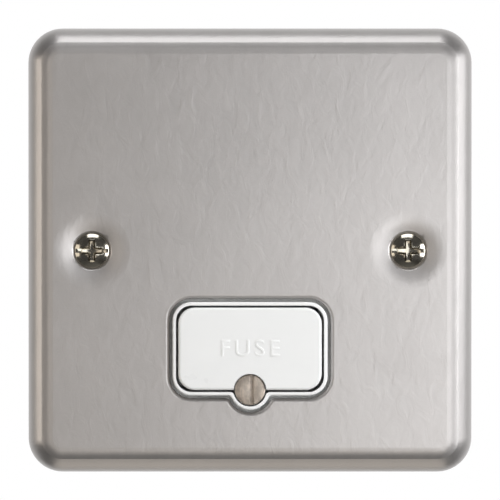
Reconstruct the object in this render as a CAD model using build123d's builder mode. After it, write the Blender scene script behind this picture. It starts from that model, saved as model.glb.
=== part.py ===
from build123d import *
import os

os.makedirs("parts", exist_ok=True)

# Frame: X to the right, Z up, the front faces -Y. Sizes are in millimetres.
# The origin is the middle of the plane on which the plate's rim meets its box.

# Front plate
plate_size = 85.0
plate_depth = 9.0
sheet = 1.2
plate_corner_r = 6.6
side_height = 1.8
roll_width = 2.77
crease_drop = 0.5
shoulder_run = 2.2

# Fixing screws and their dished seats
fixing_centres = 60.3
dish_r = 7.35
dish_drop = 0.45
seat_r = 3.75
seat_round = 0.25
dish_relief = 1.0
fixing_hole_r = 2.0
fixing_thread_r = 1.75
fixing_neck_r = 1.5
fixing_head_r = 3.35
fixing_head_edge = 0.15
fixing_head_dome = 1.15
fixing_length = 20.0
fixing_neck_length = 4.6
fixing_seat_gap = 0.03
recess_span = 4.4
recess_arm = 1.4
recess_depth = 1.7
recess_taper = 12.0
head_slot = 0.8
head_slot_depth = 1.0

# Bezel, carrier and their screw, as seen on the front
fuse_z = -18.65
bezel_height = 17.8
bezel_corner_r = 3.6
bezel_rise = 1.0
bezel_wall = 0.65
bezel_round = 0.3
lobe_drop = 7.85
lobe_r = 3.8
lobe_wall = 0.65
lobe_blend = 0.8
aperture_gap = 0.6
aperture_round = 0.7
groove_width = 0.95
groove_depth = 2.8
carrier_gap = 0.65
carrier_end_gap = 0.9
carrier_rise = 0.3
carrier_face = 2.6
carrier_round = 0.5
carrier_head_r = 2.9
carrier_head_height = 1.7
carrier_head_sink = 0.3
carrier_head_gap = 0.2
carrier_head_round = 0.25
carrier_thread_r = 1.5
carrier_thread_length = 6.8
carrier_slot = 0.6
carrier_slot_depth = 0.9
carrier_slot_offset = 0.35
lug_gap = 0.35
lug_thickness = 2.8
insert_r = 2.3
insert_sink = 0.3
carrier_thread_gap = 0.15

# Cartridge fuse and its cradle
fuse_length = 25.4
fuse_end_gap = 1.4
fuse_cap_r = 3.175
fuse_cap_length = 6.0
fuse_cap_wall = 0.4
fuse_barrel_r = 2.75
fuse_depth = 6.5
cradle_wall = 1.4
cradle_grip = 1.5
cradle_gap = 0.05
cradle_slot = 4.8
cradle_end_gap = 0.3
guide_rib = 1.4
guide_gap = 0.7
guide_rib_inner_x = 5.0
guide_rib_outer_x = 11.0
guide_rib_length = 6.5

# Sprung contacts
strip = 0.8
jaw_gap = 0.1
jaw_width = 5.0
jaw_inset = 0.5
jaw_reach = 2.0
jaw_lip = 0.5
leg_width = 5.0

# Base moulding and rear cover
body_width = 44.0
body_top = 21.3
body_bottom = -35.5
body_corner_r = 3.0
body_wall = 2.0
deck_rear = 0.4
deck_thickness = 2.0
body_rear = 11.5
flange_margin = 2.5
flange_thickness = 3.4
well_wall = 1.4
cover_thickness = 2.5
cover_round = 0.8
cover_screw_top_z = -1.5
cover_boss_r = 2.9
cover_boss_inset = 2.6
cover_thread_r = 1.3
cover_hole_r = 1.6
cover_head_r = 2.7
cover_head_height = 1.8
cover_screw_length = 9.5
driver_slot = 0.8
driver_slot_depth = 0.9
ear_reach = 8.0
ear_height = 9.0
ear_thickness = 2.5
ear_stud_reach = 5.0
ear_upper_z = 15.0
ear_lower_z = -24.0

# Terminals
terminal_width = 8.0
terminal_depth = 9.0
terminal_length = 11.0
terminal_top_gap = 0.3
terminal_side_gap = 0.5
tunnel_r = 2.4
terminal_screw_r = 1.95
terminal_thread_gap = 0.05
terminal_screw_tip = 0.3
terminal_screw_length = 3.7
access_r = 2.7
access_ring = 1.3
bay_wall = 1.5
bay_gap = 0.3
sill_rise = 2.2

# Earth connection
earth_edge = 11.5
earth_foot_gap = 0.8
earth_foot_length = 10.0
earth_stud_inset = 4.4
earth_strap_width = 9.0
earth_strap_lip = 1.9
earth_shelf_rear = 1.4
earth_bend_r = 1.5
earth_block_width = 8.0
earth_block_depth = 8.0
earth_block_length = 13.0
earth_block_margin = 0.5
earth_screw_spread = 3.6
earth_spigot_r = 1.5

# Studs and nuts
stud_r = 1.5
stud_hole_gap = 0.15
stud_end = 1.6
nut_width = 5.5
nut_height = 2.4
nut_thread_gap = 0.05

# Levels and positions that follow from the sizes above
half = plate_size / 2
field_half = half - roll_width - shoulder_run
fixing_x = fixing_centres / 2
seat_y = sheet - plate_depth
dish_depth = dish_drop + seat_r - fixing_hole_r + dish_relief
bezel_y = -plate_depth - bezel_rise
face_y = bezel_y - carrier_rise
screw_z = fuse_z - lobe_drop
opening_width = fuse_length + 2 * fuse_end_gap
opening_height = bezel_height - 2 * bezel_wall
bezel_width = opening_width + 2 * bezel_wall
opening_corner_r = bezel_corner_r - bezel_wall
opening_lobe_r = lobe_r - lobe_wall
carrier_width = opening_width - 2 * carrier_end_gap
carrier_height = opening_height - 2 * carrier_gap
carrier_corner_r = opening_corner_r - carrier_gap
lug_r = opening_lobe_r - lug_gap
face_rear_y = face_y + carrier_face
head_floor_y = face_y + carrier_head_sink + carrier_head_height
lug_rear_y = head_floor_y + lug_thickness
fuse_y = face_y + fuse_depth
cap_inner_x = fuse_length / 2 - fuse_cap_length
ledge_x = fuse_length / 2 + cradle_end_gap
cradle_half = cap_inner_x - cradle_end_gap
cradle_z = fuse_barrel_r + cradle_wall
jaw_inner_x = cap_inner_x + jaw_inset
jaw_outer_x = jaw_inner_x + jaw_width
jaw_half = fuse_cap_r + jaw_gap
flange_top = fuse_z + bezel_height / 2 + flange_margin
flange_low = screw_z - lobe_r - flange_margin
deck_front = deck_rear - deck_thickness
leg_rear = deck_rear + strip
body_height = body_top - body_bottom
body_mid_z = (body_top + body_bottom) / 2
body_inner_x = body_width / 2 - body_wall
ear_x = body_width / 2 + ear_stud_reach
cover_screw_low_x = body_inner_x - cover_boss_inset
cover_screw_low_z = body_bottom + body_wall + cover_boss_inset
cover_rear = body_rear + cover_thickness
terminal_top = body_top - body_wall - terminal_top_gap
terminal_bottom = terminal_top - terminal_length
terminal_mid_z = (terminal_top + terminal_bottom) / 2
terminal_rear = leg_rear + terminal_depth
line_x = body_inner_x - terminal_side_gap - terminal_width / 2
neutral_half = line_x - terminal_width / 2 - bay_wall - 2 * terminal_side_gap
neutral_x = neutral_half - terminal_width / 2
tunnel_y = leg_rear + terminal_depth / 2
bay_floor_z = terminal_bottom - bay_gap
fin_x = neutral_half + terminal_side_gap + bay_wall / 2
earth_x = half - earth_edge
earth_foot_start = dish_r + earth_foot_gap
earth_stud_z = earth_foot_start + earth_stud_inset
earth_riser_z = earth_foot_start + earth_foot_length
earth_block_low = earth_riser_z + earth_block_margin
earth_block_mid = earth_block_low + earth_block_length / 2
earth_strap_end = earth_block_low + earth_block_length + earth_strap_lip
earth_tunnel_y = earth_shelf_rear + earth_block_depth / 2
fixing_rim_y = dish_drop - plate_depth + seat_r - fixing_head_r - fixing_seat_gap
cover_bosses = {
    "top": (0, cover_screw_top_z),
    "left": (-cover_screw_low_x, cover_screw_low_z),
    "right": (cover_screw_low_x, cover_screw_low_z),
}


def front_view(y):
    """A plane at depth y as seen from the front, with X to the right and Z up."""
    return Plane(origin=(0, y, 0), x_dir=(1, 0, 0), z_dir=(0, -1, 0))


def keyhole(y, width, height, corner, lobe):
    """The fuse holder's outline at depth y: a rounded rectangle with a round lobe below it."""
    with BuildSketch(front_view(y)) as outline:
        with Locations((0, fuse_z)):
            RectangleRounded(width, height, corner)
        with Locations((0, screw_z)):
            Circle(lobe)
        joints = outline.vertices().sort_by_distance((0, screw_z, 0))[:2]
        fillet(joints, lobe_blend)
    return outline.sketch


def save(block, name):
    """Labels a piece and writes its file."""
    block.part.label = name
    export_step(block.part, f"parts/{name}.step")


# Front plate: the outer skin of the rim is drawn once, thickened inwards and swept round the square
with BuildPart() as front_plate:
    with BuildSketch(Plane.XY):
        with BuildLine():
            foot = Line((half, 0), (half, -side_height))
            crease = (half - roll_width, crease_drop - plate_depth)
            TangentArc(foot @ 1, crease, tangent=foot % 1)
            TangentArc((field_half, -plate_depth), crease, tangent=(1, 0))
            offset(amount=sheet, side=Side.RIGHT)
        make_face()
    with BuildLine(front_view(0)):
        line = Line((half, 0), (half, half - plate_corner_r))
        for turn in range(4):
            arc = JernArc(line @ 1, line % 1, plate_corner_r, 90)
            run = plate_size - 2 * plate_corner_r if turn < 3 else half - plate_corner_r
            line = Line(arc @ 1, arc @ 1 + (arc % 1) * run)
    sweep()
    with BuildSketch(front_view(-plate_depth)):
        RectangleRounded(2 * field_half, 2 * field_half, plate_corner_r - roll_width - shoulder_run)
    extrude(amount=-sheet)
    # Dished seats, pressed back from the field
    for x in (-fixing_x, fixing_x):
        with BuildSketch(front_view(-plate_depth)):
            with Locations((x, 0)):
                Circle(dish_r)
        extrude(amount=-sheet, mode=Mode.SUBTRACT)
        with BuildSketch(Plane.XY):
            with BuildLine():
                start = (x + dish_r, -plate_depth)
                seat = (x + seat_r, dish_drop - plate_depth)
                hole = (x + fixing_hole_r, dish_drop - plate_depth + seat_r - fixing_hole_r)
                TangentArc(start, seat, tangent=(-1, 0))
                Line(seat, hole)
                offset(amount=sheet, side=Side.RIGHT)
            make_face()
        revolve(axis=Axis((x, 0, 0), (0, 1, 0)))
    rings = front_plate.edges().filter_by(GeomType.CIRCLE)
    fillet(rings.filter_by(lambda ring: abs(ring.radius - seat_r) < seat_round / 10), seat_round)
    aperture = keyhole(
        -plate_depth,
        bezel_width + 2 * aperture_gap,
        bezel_height + 2 * aperture_gap,
        bezel_corner_r + aperture_gap,
        lobe_r + aperture_gap,
    )
    extrude(aperture, amount=-sheet, mode=Mode.SUBTRACT)
    field = front_plate.faces().sort_by(Axis.Y)[0]
    aperture_rim = field.inner_wires().sort_by_distance((0, -plate_depth, fuse_z))[0]
    fillet(aperture_rim.edges(), aperture_round)
save(front_plate, "front_plate")

# Fixing screws: raised countersunk heads with a cross recess and a slot
for side, x in (("left", -fixing_x), ("right", fixing_x)):
    with BuildPart() as fixing_screw:
        with BuildSketch(Plane.XY):
            with BuildLine():
                top = fixing_rim_y - fixing_head_edge - fixing_head_dome
                edge = (x + fixing_head_r, fixing_rim_y - fixing_head_edge)
                neck_y = fixing_rim_y + fixing_head_r - fixing_neck_r
                thread_y = fixing_rim_y + fixing_neck_length
                tip_y = fixing_rim_y + fixing_length
                TangentArc((x, top), edge, tangent=(1, 0))
                Polyline(
                    edge,
                    (x + fixing_head_r, fixing_rim_y),
                    (x + fixing_neck_r, neck_y),
                    (x + fixing_neck_r, thread_y),
                    (x + fixing_thread_r, thread_y + fixing_thread_r - fixing_neck_r),
                    (x + fixing_thread_r, tip_y),
                    (x, tip_y),
                    (x, top),
                )
            make_face()
        revolve(axis=Axis((x, 0, 0), (0, 1, 0)))
        with BuildSketch(front_view(top)):
            with Locations((x, 0)):
                Rectangle(recess_span, recess_arm)
                Rectangle(recess_arm, recess_span)
        extrude(amount=-recess_depth, taper=recess_taper, mode=Mode.SUBTRACT)
        with BuildSketch(front_view(top)):
            with Locations((x, 0)):
                Rectangle(3 * fixing_head_r, head_slot)
        extrude(amount=-head_slot_depth, mode=Mode.SUBTRACT)
    save(fixing_screw, f"fixing_screw_{side}")

# Base moulding: bezel and fuse well in front of a deck, terminal bays behind it
with BuildPart() as base_moulding:
    with BuildSketch(front_view(seat_y)):
        with Locations((0, body_mid_z)):
            RectangleRounded(body_width, body_height, body_corner_r)
            RectangleRounded(
                body_width - 2 * body_wall,
                body_height - 2 * body_wall,
                body_corner_r - body_wall,
                mode=Mode.SUBTRACT,
            )
    extrude(amount=seat_y - body_rear)
    with BuildSketch(front_view(deck_front)):
        with Locations((0, body_mid_z)):
            Rectangle(body_width - body_wall, body_height - body_wall)
    extrude(amount=-deck_thickness)
    with BuildSketch(front_view(seat_y)):
        with Locations((0, (flange_top + flange_low) / 2)):
            Rectangle(bezel_width + 2 * flange_margin, flange_top - flange_low)
    extrude(amount=-flange_thickness)
    well = keyhole(
        seat_y,
        opening_width + 2 * well_wall,
        opening_height + 2 * well_wall,
        opening_corner_r + well_wall,
        opening_lobe_r + well_wall,
    )
    extrude(well, amount=seat_y - deck_rear)
    # Bezel, which stands in a groove and passes through the plate's aperture
    groove = keyhole(
        seat_y,
        bezel_width + 2 * groove_width,
        bezel_height + 2 * groove_width,
        bezel_corner_r + groove_width,
        lobe_r + groove_width,
    )
    extrude(groove, amount=-groove_depth, mode=Mode.SUBTRACT)
    groove_y = seat_y + groove_depth
    bezel = keyhole(groove_y, bezel_width, bezel_height, bezel_corner_r, lobe_r)
    extrude(bezel, amount=groove_y - bezel_y)
    fillet(base_moulding.faces().sort_by(Axis.Y)[0].edges(), bezel_round)
    opening = keyhole(bezel_y, opening_width, opening_height, opening_corner_r, opening_lobe_r)
    extrude(opening, amount=bezel_y - deck_rear, mode=Mode.SUBTRACT)
    # Ledges that close the well's floor beyond the fuse's ends
    with BuildSketch(front_view(deck_front)):
        ledge_end_x = opening_width / 2 + well_wall / 2
        for side in (-1, 1):
            with Locations((side * (ledge_x + ledge_end_x) / 2, fuse_z)):
                Rectangle(ledge_end_x - ledge_x, opening_height)
    extrude(amount=-deck_thickness)
    # Boss that holds the carrier screw's insert and carries the carrier's lug
    with BuildSketch(front_view(lug_rear_y)):
        with Locations((0, screw_z)):
            Circle(opening_lobe_r)
            Circle(insert_r, mode=Mode.SUBTRACT)
    extrude(amount=lug_rear_y - deck_rear)
    # Pad under the neutral bar, floor and fins of the terminal bays
    with BuildSketch(front_view(deck_rear)):
        with Locations((0, terminal_mid_z)):
            Rectangle(2 * neutral_half - bay_wall, terminal_length - bay_wall)
    extrude(amount=-strip)
    with BuildSketch(front_view(deck_rear)):
        with Locations((0, bay_floor_z - bay_wall / 2)):
            Rectangle(body_width - body_wall, bay_wall)
        with Locations((-fin_x, (bay_floor_z + body_top) / 2), (fin_x, (bay_floor_z + body_top) / 2)):
            Rectangle(bay_wall, body_top - bay_floor_z)
    extrude(amount=deck_rear - body_rear)
    # Wire entries above a low sill, and slots for the contacts' legs
    with BuildSketch(front_view(deck_rear + sill_rise)):
        line_bay = body_inner_x - fin_x - bay_wall / 2
        line_bay_x = fin_x + bay_wall / 2 + line_bay / 2
        with Locations((0, body_top - body_wall / 2)):
            Rectangle(2 * fin_x - bay_wall, body_wall)
        with Locations((-line_bay_x, body_top - body_wall / 2), (line_bay_x, body_top - body_wall / 2)):
            Rectangle(line_bay, body_wall)
    extrude(amount=deck_rear + sill_rise - body_rear, mode=Mode.SUBTRACT)
    with BuildSketch(front_view(deck_rear)):
        with Locations((-line_x, bay_floor_z - bay_wall / 2), (line_x, bay_floor_z - bay_wall / 2)):
            Rectangle(leg_width + 2 * bay_gap, bay_wall)
    extrude(amount=-strip - bay_gap, mode=Mode.SUBTRACT)
    # Bosses for the cover's screws
    with BuildSketch(front_view(deck_rear)):
        with Locations(*cover_bosses.values()):
            Circle(cover_boss_r)
            Circle(cover_thread_r, mode=Mode.SUBTRACT)
    extrude(amount=deck_rear - body_rear)
    # Ears that lie on the plate and are held by its studs
    with BuildSketch(front_view(seat_y)):
        for x, z in ((-1, ear_upper_z), (1, ear_lower_z)):
            with Locations((x * (body_width / 2 + ear_reach / 2 - body_wall / 2), z)):
                Rectangle(ear_reach + body_wall, ear_height)
            with Locations((x * ear_x, z)):
                Circle(stud_r + stud_hole_gap, mode=Mode.SUBTRACT)
    extrude(amount=-ear_thickness)
    # Relief in the side walls for the plate's dished seats
    with BuildSketch(front_view(seat_y)):
        with Locations((-fixing_x, 0), (fixing_x, 0)):
            Circle(dish_r + dish_relief)
    extrude(amount=-dish_depth, mode=Mode.SUBTRACT)
save(base_moulding, "base_moulding")

# Brass insert for the carrier screw
with BuildPart() as carrier_screw_insert:
    with BuildSketch(front_view(lug_rear_y + insert_sink)):
        with Locations((0, screw_z)):
            Circle(insert_r)
            Circle(carrier_thread_r + carrier_thread_gap, mode=Mode.SUBTRACT)
    extrude(amount=lug_rear_y + insert_sink - deck_rear)
save(carrier_screw_insert, "carrier_screw_insert")

# Fuse carrier: face, screw lug, cradle for the barrel and guide ribs
with BuildPart() as fuse_carrier:
    with BuildSketch(front_view(face_y)):
        with Locations((0, fuse_z)):
            RectangleRounded(carrier_width, carrier_height, carrier_corner_r)
    extrude(amount=-carrier_face)
    fillet(fuse_carrier.faces().sort_by(Axis.Y)[0].edges(), carrier_round)
    with BuildSketch(front_view(head_floor_y)):
        with Locations((0, screw_z)):
            Circle(lug_r)
        with Locations((0, (screw_z + fuse_z - fuse_barrel_r) / 2)):
            Rectangle(2 * lug_r, fuse_z - fuse_barrel_r - screw_z)
    extrude(amount=-lug_thickness)
    with BuildSketch(front_view(face_rear_y)):
        with Locations((0, fuse_z)):
            Rectangle(2 * cradle_half, 2 * cradle_z)
    extrude(amount=face_rear_y - fuse_y - cradle_grip)
    with BuildSketch(Plane(origin=(-cradle_half, 0, 0), x_dir=(0, 1, 0), z_dir=(1, 0, 0))):
        with Locations((fuse_y, fuse_z)):
            Circle(fuse_barrel_r + cradle_gap)
    extrude(amount=2 * cradle_half, mode=Mode.SUBTRACT)
    with BuildSketch(front_view(fuse_y - fuse_barrel_r)):
        with Locations((0, fuse_z)):
            Rectangle(cradle_slot, 2 * cradle_z)
    extrude(amount=-2 * fuse_barrel_r, mode=Mode.SUBTRACT)
    with BuildSketch(front_view(face_rear_y)):
        rib_x = (guide_rib_inner_x + guide_rib_outer_x) / 2
        rib_z = opening_height / 2 - guide_gap - guide_rib / 2
        for x in (-rib_x, rib_x):
            with Locations((x, fuse_z - rib_z), (x, fuse_z + rib_z)):
                Rectangle(guide_rib_outer_x - guide_rib_inner_x, guide_rib)
    extrude(amount=-guide_rib_length)
    with BuildSketch(front_view(face_y)):
        with Locations((0, screw_z)):
            Circle(carrier_head_r + carrier_head_gap)
    extrude(amount=face_y - head_floor_y, mode=Mode.SUBTRACT)
    with BuildSketch(front_view(head_floor_y)):
        with Locations((0, screw_z)):
            Circle(carrier_thread_r + carrier_thread_gap)
    extrude(amount=-lug_thickness, mode=Mode.SUBTRACT)
save(fuse_carrier, "fuse_carrier")

# Retaining screw of the carrier, slotted
with BuildPart() as carrier_screw:
    with BuildSketch(front_view(head_floor_y)):
        with Locations((0, screw_z)):
            Circle(carrier_head_r)
    extrude(amount=carrier_head_height)
    fillet(carrier_screw.faces().sort_by(Axis.Y)[0].edges(), carrier_head_round)
    with BuildSketch(front_view(head_floor_y)):
        with Locations((0, screw_z)):
            Circle(carrier_thread_r)
    extrude(amount=-carrier_thread_length)
    with BuildSketch(front_view(head_floor_y - carrier_head_height)):
        with Locations((carrier_slot_offset, screw_z)):
            Rectangle(carrier_slot, 3 * carrier_head_r)
    extrude(amount=-carrier_slot_depth, mode=Mode.SUBTRACT)
save(carrier_screw, "carrier_screw")

# Cartridge fuse: ceramic barrel between two plated caps
barrel_half = fuse_length / 2 - fuse_cap_wall
with BuildPart() as fuse_barrel:
    with BuildSketch(Plane(origin=(-barrel_half, 0, 0), x_dir=(0, 1, 0), z_dir=(1, 0, 0))):
        with Locations((fuse_y, fuse_z)):
            Circle(fuse_barrel_r)
    extrude(amount=2 * barrel_half)
save(fuse_barrel, "fuse_barrel")

for side, sign in (("left", -1), ("right", 1)):
    with BuildPart() as fuse_cap:
        with BuildSketch(Plane(origin=(sign * cap_inner_x, 0, 0), x_dir=(0, 1, 0), z_dir=(1, 0, 0))):
            with Locations((fuse_y, fuse_z)):
                Circle(fuse_cap_r)
        extrude(amount=sign * fuse_cap_length)
        fillet(fuse_cap.faces().sort_by(Axis.X)[-1 if sign > 0 else 0].edges(), fuse_cap_wall)
        with BuildSketch(Plane(origin=(sign * cap_inner_x, 0, 0), x_dir=(0, 1, 0), z_dir=(1, 0, 0))):
            with Locations((fuse_y, fuse_z)):
                Circle(fuse_barrel_r + cradle_gap)
        extrude(amount=sign * (fuse_cap_length - fuse_cap_wall), mode=Mode.SUBTRACT)
    save(fuse_cap, f"fuse_cap_{side}")

# Sprung contacts: jaws round a fuse cap, and a leg that lies on the deck up to its terminal
for name, sign in (("supply_contact", -1), ("load_contact", 1)):
    with BuildPart() as contact:
        jaw_side = Plane(origin=(sign * jaw_inner_x, 0, 0), x_dir=(0, 1, 0), z_dir=(1, 0, 0))
        with BuildSketch(jaw_side):
            with BuildLine():
                jaw_front = fuse_y - jaw_reach
                Polyline(
                    (jaw_front - jaw_lip, fuse_z - jaw_half - jaw_lip),
                    (jaw_front, fuse_z - jaw_half),
                    (deck_rear, fuse_z - jaw_half),
                    (deck_rear, fuse_z + jaw_half),
                    (jaw_front, fuse_z + jaw_half),
                    (jaw_front - jaw_lip, fuse_z + jaw_half + jaw_lip),
                )
                offset(amount=strip, side=Side.RIGHT)
            make_face()
        extrude(amount=sign * jaw_width)
        with BuildSketch(front_view(deck_rear)):
            low = fuse_z - jaw_half
            high = fuse_z + jaw_half
            outer = line_x + leg_width / 2
            with BuildLine():
                Polyline(
                    (sign * jaw_inner_x, low),
                    (sign * outer, low),
                    (sign * outer, terminal_top),
                    (sign * (outer - leg_width), terminal_top),
                    (sign * (outer - leg_width), high),
                    (sign * jaw_inner_x, high),
                    close=True,
                )
            make_face()
        extrude(amount=-strip)
    save(contact, name)

# Line terminals: brass blocks with a wire tunnel and a threaded hole
for name, x in (("line_in", -line_x), ("line_out", line_x)):
    with BuildPart() as terminal:
        with BuildSketch(front_view(leg_rear)):
            with Locations((x, terminal_mid_z)):
                Rectangle(terminal_width, terminal_length)
        extrude(amount=-terminal_depth)
        with BuildSketch(Plane.XY.offset(terminal_bottom)):
            with Locations((x, tunnel_y)):
                Circle(tunnel_r)
        extrude(amount=terminal_length, mode=Mode.SUBTRACT)
        with BuildSketch(front_view(tunnel_y)):
            with Locations((x, terminal_mid_z)):
                Circle(terminal_screw_r + terminal_thread_gap)
        extrude(amount=-terminal_depth / 2, mode=Mode.SUBTRACT)
    save(terminal, f"{name}_terminal")

# Neutral terminal: one bar with both tunnels
with BuildPart() as neutral_terminal:
    with BuildSketch(front_view(leg_rear)):
        with Locations((0, terminal_mid_z)):
            Rectangle(2 * neutral_half, terminal_length)
    extrude(amount=-terminal_depth)
    with BuildSketch(Plane.XY.offset(terminal_bottom)):
        with Locations((-neutral_x, tunnel_y), (neutral_x, tunnel_y)):
            Circle(tunnel_r)
    extrude(amount=terminal_length, mode=Mode.SUBTRACT)
    with BuildSketch(front_view(tunnel_y)):
        with Locations((-neutral_x, terminal_mid_z), (neutral_x, terminal_mid_z)):
            Circle(terminal_screw_r + terminal_thread_gap)
    extrude(amount=-terminal_depth / 2, mode=Mode.SUBTRACT)
save(neutral_terminal, "neutral_terminal")

# Earth strap: foot on the plate, riser and shelf folded from one strip
earth_low_x = earth_x - earth_strap_width / 2
with BuildPart() as earth_strap:
    with BuildSketch(Plane(origin=(earth_low_x, 0, 0), x_dir=(0, 1, 0), z_dir=(1, 0, 0))):
        with BuildLine():
            FilletPolyline(
                (seat_y, earth_foot_start),
                (seat_y, earth_riser_z),
                (earth_shelf_rear - sheet, earth_riser_z),
                (earth_shelf_rear - sheet, earth_strap_end),
                radius=earth_bend_r,
            )
            offset(amount=sheet, side=Side.RIGHT)
        make_face()
    extrude(amount=earth_strap_width)
    with BuildSketch(front_view(seat_y)):
        with Locations((earth_x, earth_stud_z)):
            Circle(stud_r + stud_hole_gap)
    extrude(amount=-sheet, mode=Mode.SUBTRACT)
    with BuildSketch(front_view(earth_shelf_rear - sheet)):
        with Locations((earth_x, earth_block_mid)):
            Circle(earth_spigot_r)
    extrude(amount=-sheet, mode=Mode.SUBTRACT)
save(earth_strap, "earth_strap")

# Earth terminal: one long tunnel, open at both ends, staked to the strap's shelf
with BuildPart() as earth_terminal:
    with BuildSketch(front_view(earth_shelf_rear)):
        with Locations((earth_x, earth_block_mid)):
            Rectangle(earth_block_width, earth_block_length)
    extrude(amount=-earth_block_depth)
    with BuildSketch(front_view(earth_shelf_rear)):
        with Locations((earth_x, earth_block_mid)):
            Circle(earth_spigot_r - cradle_gap)
    extrude(amount=sheet)
    with BuildSketch(Plane.XY.offset(earth_block_low)):
        with Locations((earth_x, earth_tunnel_y)):
            Circle(tunnel_r)
    extrude(amount=earth_block_length, mode=Mode.SUBTRACT)
    with BuildSketch(front_view(earth_tunnel_y)):
        with Locations(
            (earth_x, earth_block_mid - earth_screw_spread),
            (earth_x, earth_block_mid + earth_screw_spread),
        ):
            Circle(terminal_screw_r + terminal_thread_gap)
    extrude(amount=-earth_block_depth / 2, mode=Mode.SUBTRACT)
save(earth_terminal, "earth_terminal")

# Terminal screws, backed out so that the tunnels are clear
terminal_screws = {
    "line_in_screw": (-line_x, tunnel_y, terminal_mid_z),
    "line_out_screw": (line_x, tunnel_y, terminal_mid_z),
    "neutral_in_screw": (-neutral_x, tunnel_y, terminal_mid_z),
    "neutral_out_screw": (neutral_x, tunnel_y, terminal_mid_z),
    "earth_screw_lower": (earth_x, earth_tunnel_y, earth_block_mid - earth_screw_spread),
    "earth_screw_upper": (earth_x, earth_tunnel_y, earth_block_mid + earth_screw_spread),
}
for name, (x, y, z) in terminal_screws.items():
    tip = y + tunnel_r + terminal_screw_tip
    with BuildPart() as terminal_screw:
        with BuildSketch(front_view(tip)):
            with Locations((x, z)):
                Circle(terminal_screw_r)
        extrude(amount=-terminal_screw_length)
        with BuildSketch(front_view(tip + terminal_screw_length)):
            with Locations((x, z)):
                Rectangle(3 * terminal_screw_r, driver_slot)
        extrude(amount=driver_slot_depth, mode=Mode.SUBTRACT)
    save(terminal_screw, name)

# Rear cover: closes the base and holds contacts and terminals down on the deck
access_points = [(x, terminal_mid_z) for x in (-line_x, -neutral_x, neutral_x, line_x)]
with BuildPart() as rear_cover:
    with BuildSketch(front_view(body_rear)):
        with Locations((0, body_mid_z)):
            RectangleRounded(body_width, body_height, body_corner_r)
    extrude(amount=-cover_thickness)
    fillet(rear_cover.faces().sort_by(Axis.Y)[-1].edges(), cover_round)
    with BuildSketch(front_view(body_rear)):
        with Locations(*access_points):
            Circle(access_r + access_ring)
    extrude(amount=body_rear - terminal_rear)
    with BuildSketch(front_view(body_rear)):
        post_x = (jaw_inner_x + jaw_outer_x) / 2
        with Locations((-post_x, fuse_z), (post_x, fuse_z)):
            Rectangle(jaw_width - 2 * strip, 2 * fuse_cap_r - 2 * strip)
    extrude(amount=body_rear - leg_rear)
    with BuildSketch(front_view(terminal_rear)):
        with Locations(*access_points):
            Circle(access_r)
    extrude(amount=terminal_rear - cover_rear, mode=Mode.SUBTRACT)
    with BuildSketch(front_view(body_rear)):
        with Locations(*cover_bosses.values()):
            Circle(cover_hole_r)
    extrude(amount=-cover_thickness, mode=Mode.SUBTRACT)
save(rear_cover, "rear_cover")

# Cover screws: slotted pan heads
for side, (x, z) in cover_bosses.items():
    with BuildPart() as cover_screw:
        with BuildSketch(front_view(cover_rear)):
            with Locations((x, z)):
                Circle(cover_head_r)
        extrude(amount=-cover_head_height)
        fillet(cover_screw.faces().sort_by(Axis.Y)[-1].edges(), cover_round)
        with BuildSketch(front_view(cover_rear)):
            with Locations((x, z)):
                Circle(cover_thread_r)
        extrude(amount=cover_screw_length)
        with BuildSketch(front_view(cover_rear + cover_head_height)):
            with Locations((x, z)):
                Rectangle(3 * cover_head_r, driver_slot)
        extrude(amount=driver_slot_depth, mode=Mode.SUBTRACT)
    save(cover_screw, f"cover_screw_{side}")

# Welded studs and their nuts: two hold the base moulding, one holds the earth strap
studs = {
    "body_upper": (-ear_x, ear_upper_z, ear_thickness),
    "body_lower": (ear_x, ear_lower_z, ear_thickness),
    "earth": (earth_x, earth_stud_z, sheet),
}
for name, (x, z, grip) in studs.items():
    role, _, place = name.partition("_")
    ending = f"_{place}" if place else ""
    with BuildPart() as stud:
        with BuildSketch(front_view(seat_y)):
            with Locations((x, z)):
                Circle(stud_r)
        extrude(amount=-grip - nut_height - stud_end)
    save(stud, f"{role}_stud{ending}")
    with BuildPart() as nut:
        with BuildSketch(front_view(seat_y + grip)):
            with Locations((x, z)):
                RegularPolygon(nut_width / 2, 6, major_radius=False)
                Circle(stud_r + nut_thread_gap, mode=Mode.SUBTRACT)
        extrude(amount=-nut_height)
    save(nut, f"{role}_nut{ending}")
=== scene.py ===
"""Looks of a fused spur unit: finishes, carrier, threaded fasteners, lettering and a small studio."""

import math

import bpy
from bpy.props import FloatProperty, FloatVectorProperty, IntProperty, PointerProperty, StringProperty
from mathutils import Matrix, Vector


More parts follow.
